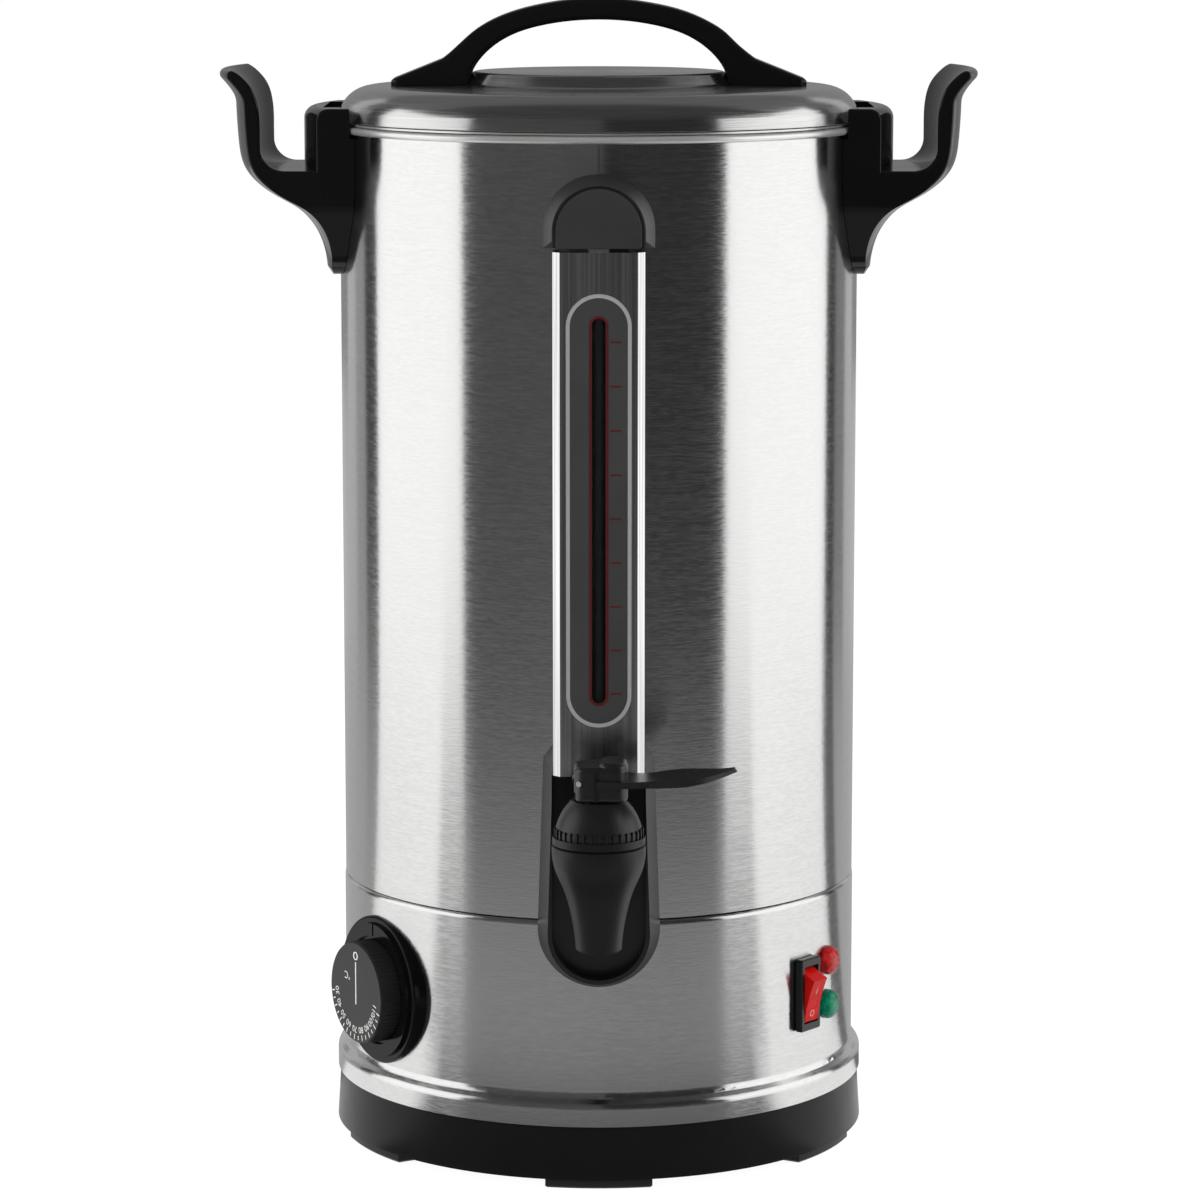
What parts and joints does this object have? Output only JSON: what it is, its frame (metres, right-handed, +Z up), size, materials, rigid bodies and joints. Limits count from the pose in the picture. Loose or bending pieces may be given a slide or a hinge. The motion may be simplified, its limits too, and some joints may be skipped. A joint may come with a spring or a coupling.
{
  "type": "hot water urn",
  "caption": "Tall round hot water urn with a lift-off lid, two side handles, a sight gauge, a swivelling lever tap, a thermostat dial and a rocker switch.",
  "frame": {"origin": "centre of the base, on the plane of its feet", "axes": "+Z up, the tap and the sight gauge face -Y, +X to the right seen from the front"},
  "size_m": [0.3234, 0.2975, 0.4922],
  "materials": {
    "drum_steel": "brushed round the drum, satin",
    "lid_steel": "brushed, satin",
    "pot_steel": "mill finish, half bright",
    "channel_steel": "brushed lengthwise, satin",
    "gloss_black": "polished moulding",
    "knob_black": "satin face, ribbed side",
    "base_black": "fine moulded grain",
    "tap_black": "fine moulded grain",
    "trim_black": "satin moulding",
    "cap_grey": "satin moulding",
    "label_grey": "matt printed plate",
    "rocker_red": "translucent gloss",
    "lens_red": "translucent gloss",
    "lens_green": "translucent gloss",
    "clear_tube": "clear",
    "heater_aluminium": "cast, machined face",
    "sheath_steel": "annealed sheath",
    "plated_steel": "zinc plated",
    "pin_steel": "drawn bright",
    "silicone": "matt silicone",
    "fitting_grey": "moulded",
    "device_cream": "moulded",
    "gland_black": "moulded"
  },
  "bodies": {
    "urn": {"upper_shell": "drum_steel", "lower_shell": "drum_steel", "inner_pot": "pot_steel", "sight_housing": "channel_steel", "handle_left": "gloss_black", "handle_right": "gloss_black", "dial_bezel": "gloss_black", "base_skirt": "base_black", "tap_body": "tap_black", "tap_nozzle": "tap_black", "tap_bonnet": "tap_black", "tap_nut": "tap_black", "tap_surround": "trim_black", "sight_cap_bezel": "trim_black", "switch_housing": "trim_black", "sight_cap_plug": "cap_grey", "sight_label": "label_grey", "lamp_red": "lens_red", "lamp_green": "lens_green", "sight_tube": "clear_tube", "heater_plate": "heater_aluminium", "heating_element": "sheath_steel", "thermostat_bulb": "sheath_steel", "base_screws": "plated_steel", "tie_studs": "plated_steel", "tie_nuts": "plated_steel", "handle_screws": "plated_steel", "base_plate": "plated_steel", "tap_spring": "pin_steel", "tap_gasket": "silicone", "sight_seals": "silicone", "sight_elbow": "fitting_grey", "sight_elbow_nut": "fitting_grey", "thermostat": "device_cream", "safety_cutout": "device_cream", "terminal_block": "device_cream", "cable_gland": "gland_black"},
    "lid": {"lid_shell": "lid_steel", "lid_ring": "pot_steel", "lid_handle": "gloss_black", "lid_handle_screws": "plated_steel"},
    "dial": {"dial_knob": "knob_black", "thermostat_spindle": "pin_steel"},
    "rocker": {"switch_rocker": "rocker_red"},
    "tap_swivel": {"tap_hub": "tap_black", "tap_pin": "pin_steel"},
    "tap_lever": {"tap_lever": "tap_black"},
    "tap_stem": {"tap_stem": "fitting_grey", "tap_seal": "silicone"}
  },
  "joints": [
    {"name": "lid_lift", "type": "slide", "parent": "urn", "child": "lid", "axis": [0, 0, 1], "range_m": [0, 0.12]},
    {"name": "dial_turn", "type": "hinge", "parent": "urn", "child": "dial", "pos_m": [-0.09362, -0.05964, 0.0725], "axis": [-0.8434, -0.5373, 0], "range_deg": [-255, 0]},
    {"name": "rocker_press", "type": "hinge", "parent": "urn", "child": "rocker", "pos_m": [0.08558, -0.06686, 0.073], "axis": [-0.6157, -0.788, 0], "range_deg": [0, 30]},
    {"name": "tap_turn", "type": "hinge", "parent": "urn", "child": "tap_swivel", "pos_m": [0, -0.152, 0.176], "axis": [0, 0, 1], "range_deg": [-180, 0]},
    {"name": "lever_lift", "type": "hinge", "parent": "tap_swivel", "child": "tap_lever", "pos_m": [-0.0081, -0.152, 0.1822], "axis": [0, -1, 0], "range_deg": [0, 18], "stiffness_Nm_per_rad": 0.12, "springref_deg": -11.46},
    {"name": "stem_lift", "type": "slide", "parent": "tap_swivel", "child": "tap_stem", "axis": [0, 0, 1], "range_m": [0, 0.0026], "deforming": ["tap_spring"]}
  ],
  "couplings": [
    {"joint": "stem_lift", "follows": "lever_lift", "m_per_rad": 0.0079674}
  ]
}
